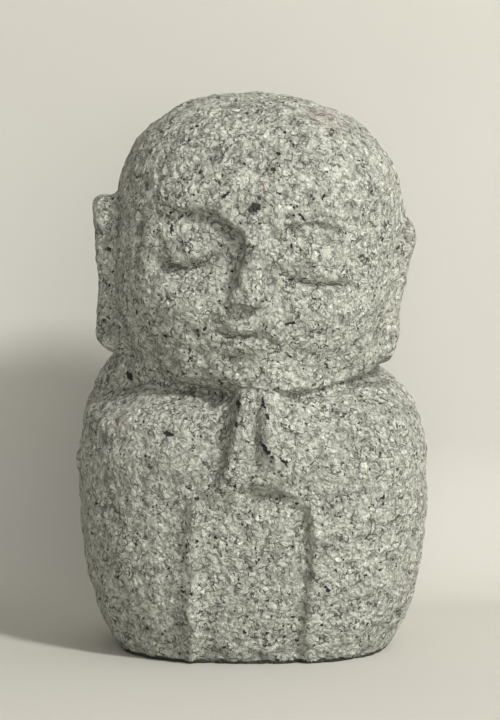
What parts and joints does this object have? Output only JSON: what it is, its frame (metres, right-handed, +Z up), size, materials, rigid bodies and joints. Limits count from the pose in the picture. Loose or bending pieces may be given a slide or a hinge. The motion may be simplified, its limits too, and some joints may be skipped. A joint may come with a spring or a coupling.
{
  "type": "stone jizo statue",
  "caption": "Small granite jizo figure: a child monk with a round shaven head, long ears, shut eyes and joined hands, cut flat underneath to stand.",
  "frame": {"origin": "middle of the sawn underside, below the middle of the bounding box", "axes": "+Z up to the crown, the face and hands look along -Y, +X is the viewer's right"},
  "size_m": [0.0944, 0.077, 0.1501],
  "materials": {
    "granite": "hammered pale grey granite with white and black crystals"
  },
  "bodies": {
    "root": {"statue": "granite"}
  },
  "joints": []
}
